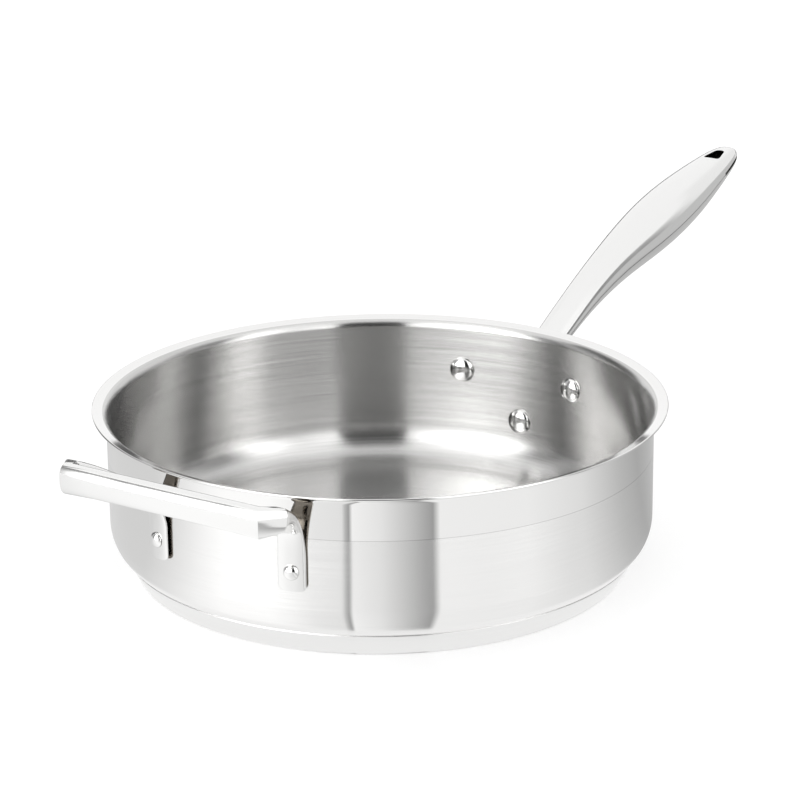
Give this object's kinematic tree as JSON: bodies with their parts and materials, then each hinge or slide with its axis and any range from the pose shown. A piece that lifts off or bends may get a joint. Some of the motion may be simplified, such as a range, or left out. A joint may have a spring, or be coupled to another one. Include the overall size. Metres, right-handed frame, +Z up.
{
  "type": "saute pan",
  "caption": "straight-sided steel saute pan with a flared rim, capsule base, riveted hollow long handle with a hanging eye, and a riveted bar helper handle",
  "frame": {"origin": "middle of the flat underside of the base, on the pan's axis", "axes": "+X runs from the axis out along the long handle, +Z is up, +Y completes the right-handed frame"},
  "size_m": [0.5736, 0.2964, 0.1422],
  "materials": {
    "body_steel": "satin, turned inside and on the lower wall, bright polished on the upper wall and rim",
    "core_aluminium": "plain pressed disc",
    "cap_steel": "satin, turned",
    "handle_steel": "bright polished stainless steel",
    "bracket_steel": "bright polished stainless steel",
    "rivet_steel": "bright polished stainless steel",
    "helper_steel": "bright polished stainless steel"
  },
  "bodies": {
    "root": {"pan_body": "body_steel", "base_core": "core_aluminium", "base_cap": "cap_steel", "long_handle_upper_shell": "handle_steel", "long_handle_lower_shell": "handle_steel", "long_handle_bracket": "bracket_steel", "long_handle_rivet_left": "rivet_steel", "long_handle_rivet_right": "rivet_steel", "long_handle_rivet_bottom": "rivet_steel", "helper_handle": "helper_steel", "helper_rivet_left": "rivet_steel", "helper_rivet_right": "rivet_steel"}
  },
  "joints": []
}
